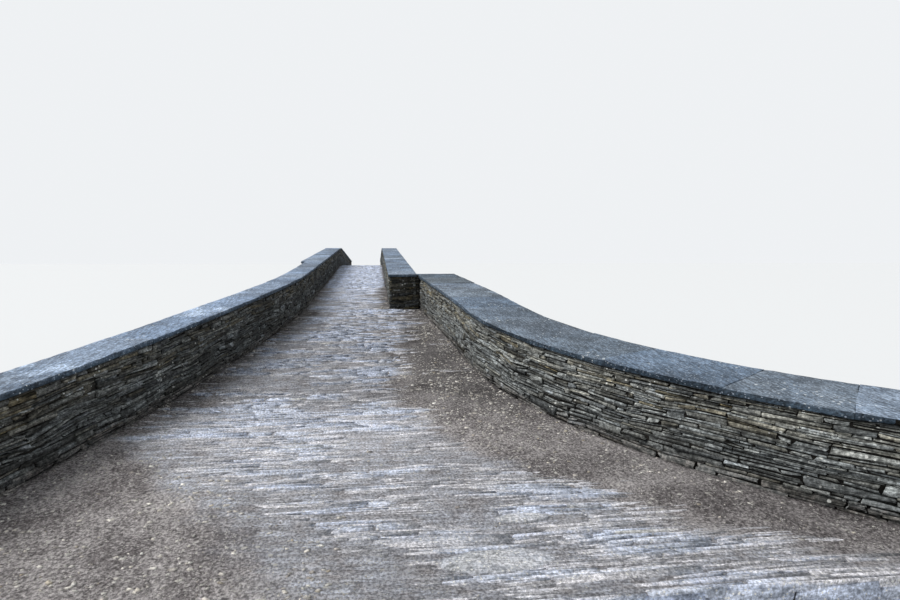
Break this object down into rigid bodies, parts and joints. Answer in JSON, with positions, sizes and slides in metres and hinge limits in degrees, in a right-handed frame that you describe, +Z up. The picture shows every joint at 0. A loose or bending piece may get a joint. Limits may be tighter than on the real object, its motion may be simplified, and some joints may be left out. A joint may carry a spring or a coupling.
{
  "type": "stone arch bridge",
  "caption": "Hump-backed stone arch bridge of slate masonry, with a narrow roadway, slab-topped parapets that flare at the mouths, and pointed cutwaters.",
  "frame": {"origin": "on the river bed, in the middle of the bridge's plan", "axes": "+X along the road towards the far bank, +Y to the left of someone walking that way, +Z up"},
  "size_m": [39.872, 8.9414, 4.62],
  "materials": {
    "wall_slate": "thin rough slate courses, dark grey-brown with ochre stones and lichen spots",
    "coping_slate": "riven blue-grey slate slabs, worn edges",
    "paving_slate": "thin slates on edge, worn, with dirt in the joints",
    "dressed_slate": "larger roughly dressed slate blocks",
    "rubble_core": "rough rubble in earth and lime"
  },
  "bodies": {
    "root": {"crest_paving": "paving_slate", "far_abutment": "dressed_slate", "far_arch_backing": "rubble_core", "far_arch_ring": "dressed_slate", "far_left_coping": "coping_slate", "far_left_cutwater": "dressed_slate", "far_left_parapet": "wall_slate", "far_left_ramp_wall": "wall_slate", "far_left_spandrel": "wall_slate", "far_left_wing_coping": "coping_slate", "far_left_wing_parapet": "wall_slate", "far_left_wing_wall": "wall_slate", "far_pier": "dressed_slate", "far_ramp_core": "rubble_core", "far_ramp_paving": "paving_slate", "far_right_coping": "coping_slate", "far_right_cutwater": "dressed_slate", "far_right_parapet": "wall_slate", "far_right_ramp_wall": "wall_slate", "far_right_spandrel": "wall_slate", "main_arch_backing": "rubble_core", "main_arch_ring": "dressed_slate", "main_left_spandrel": "wall_slate", "main_right_spandrel": "wall_slate", "near_abutment": "dressed_slate", "near_arch_backing": "rubble_core", "near_arch_ring": "dressed_slate", "near_left_coping": "coping_slate", "near_left_cutwater": "dressed_slate", "near_left_parapet": "wall_slate", "near_left_ramp_wall": "wall_slate", "near_left_spandrel": "wall_slate", "near_pier": "dressed_slate", "near_ramp_core": "rubble_core", "near_ramp_paving": "paving_slate", "near_right_coping": "coping_slate", "near_right_cutwater": "dressed_slate", "near_right_parapet": "wall_slate", "near_right_ramp_wall": "wall_slate", "near_right_spandrel": "wall_slate", "near_right_wing_coping": "coping_slate", "near_right_wing_parapet": "wall_slate", "near_right_wing_wall": "wall_slate"}
  },
  "joints": []
}
